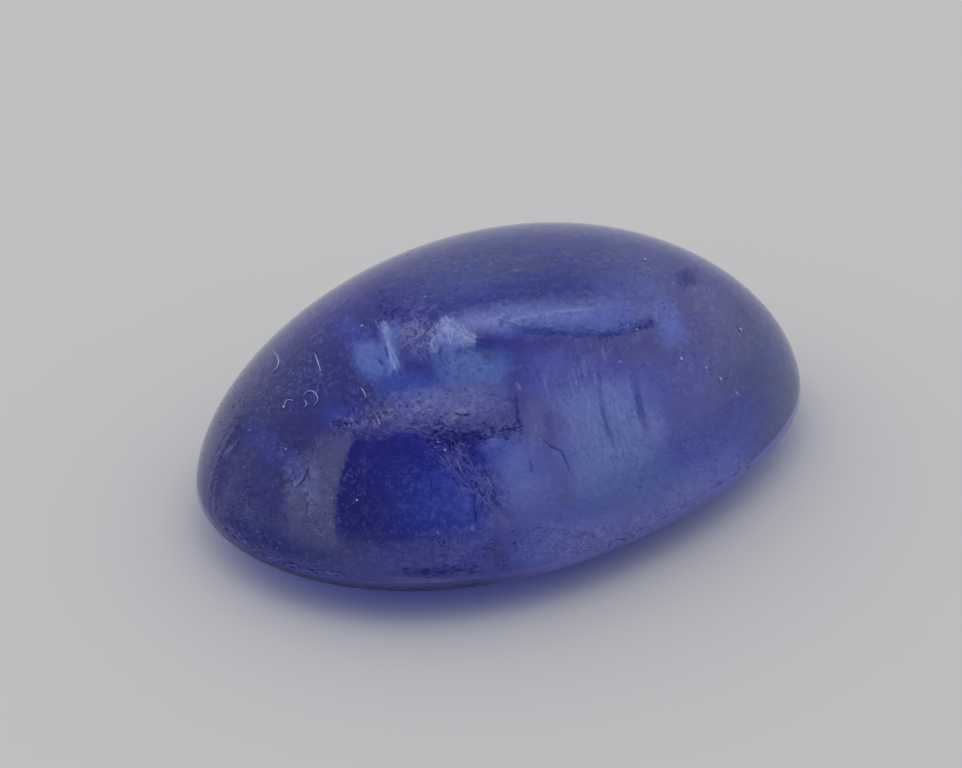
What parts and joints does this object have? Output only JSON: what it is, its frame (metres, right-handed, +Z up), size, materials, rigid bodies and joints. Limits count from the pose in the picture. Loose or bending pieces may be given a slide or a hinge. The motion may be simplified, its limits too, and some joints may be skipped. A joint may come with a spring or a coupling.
{
  "type": "tanzanite cabochon",
  "caption": "Oval, high-domed, polished tanzanite cabochon with a narrow unpolished girdle and a shallow convex base that rests on a small flat.",
  "frame": {"origin": "middle of the oval's box, on the resting flat under the convex base", "axes": "+Z up through the dome's crown, +X along the oval's length, +Y across it"},
  "size_m": [0.01, 0.007, 0.0036],
  "materials": {
    "tanzanite": "polished, see-through deep blue-violet with milky veils and fine scratches; girdle left matt"
  },
  "bodies": {
    "root": {"stone": "tanzanite"}
  },
  "joints": []
}
